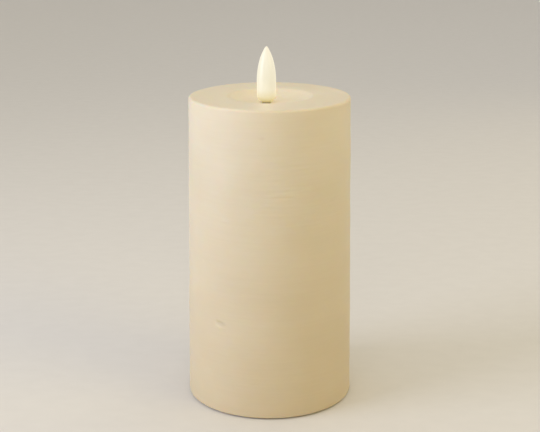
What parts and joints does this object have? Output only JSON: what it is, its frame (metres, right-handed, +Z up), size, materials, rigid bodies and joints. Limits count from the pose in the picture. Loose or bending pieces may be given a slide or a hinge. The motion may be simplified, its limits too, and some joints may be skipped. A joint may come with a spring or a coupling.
{
  "type": "flameless led candle",
  "caption": "Battery pillar candle: hollow cream wax shell with a shallow melt dish, a glowing plastic flame, a battery door and a slide switch underneath.",
  "frame": {"origin": "middle of the foot ring's lowest face, on the surface the candle stands on", "axes": "+Z up along the candle, -Y towards the viewer, +X to the viewer's right"},
  "size_m": [0.0912, 0.0912, 0.1944],
  "materials": {
    "wax": "cream paraffin wax, slightly translucent, satin",
    "flame": "milky translucent plastic, lit warm white from inside",
    "white_plastic": "plain moulded ABS, off-white",
    "base_plastic": "moulded ABS, ivory, fine spark texture",
    "lamp": "clear warm epoxy",
    "tinned_metal": "tinned",
    "shrink_sleeve": "black shrink tube",
    "grommet_rubber": "soft grey rubber",
    "screw_steel": "zinc-plated",
    "cell_jacket": "printed-film jacket, plain",
    "contact_metal": "nickel-plated spring steel",
    "phenolic": "brown phenolic sheet",
    "black_plastic": "moulded black acetal",
    "board": "green solder mask on glass-epoxy",
    "chip_black": "moulded epoxy",
    "capacitor_tan": "sintered ceramic with tinned ends",
    "wire_red": "PVC insulation",
    "wire_black": "PVC insulation",
    "hot_glue": "set hot-melt glue, cloudy"
  },
  "bodies": {
    "candle": {"wax_shell": "wax", "flame_tip": "flame", "flame_holder": "white_plastic", "led_lens": "lamp", "led_leads": "tinned_metal", "lead_sleeves": "shrink_sleeve", "led_grommet": "grommet_rubber", "stem_tube": "white_plastic", "stem_screws": "screw_steel", "base_plate": "base_plastic", "box_cover": "white_plastic", "cover_screws": "screw_steel", "battery_front": "cell_jacket", "battery_rear": "cell_jacket", "positive_plate": "contact_metal", "negative_plate": "contact_metal", "bridge_plate": "contact_metal", "negative_spring": "contact_metal", "bridge_spring": "contact_metal", "switch_frame": "tinned_metal", "switch_base": "phenolic", "switch_pins": "tinned_metal", "circuit_board": "board", "board_screws": "screw_steel", "timer_chip": "chip_black", "timing_crystal": "tinned_metal", "chip_resistors": "chip_black", "chip_capacitors": "capacitor_tan", "wire_positive": "wire_red", "wire_negative": "wire_black", "wire_led_red": "wire_red", "wire_led_black": "wire_black", "glue_beads": "hot_glue"},
    "battery_door": {"battery_door": "base_plastic"},
    "power_switch": {"switch_knob": "black_plastic", "switch_actuator": "black_plastic", "switch_wiper": "contact_metal"}
  },
  "joints": [
    {"name": "door_hinge", "type": "hinge", "parent": "candle", "child": "battery_door", "pos_m": [-0.0316, 0.002, 0.003], "axis": [0, 1, 0], "range_deg": [0, 95]},
    {"name": "switch_slide", "type": "slide", "parent": "candle", "child": "power_switch", "axis": [1, 0, 0], "range_m": [0, 0.004]}
  ]
}
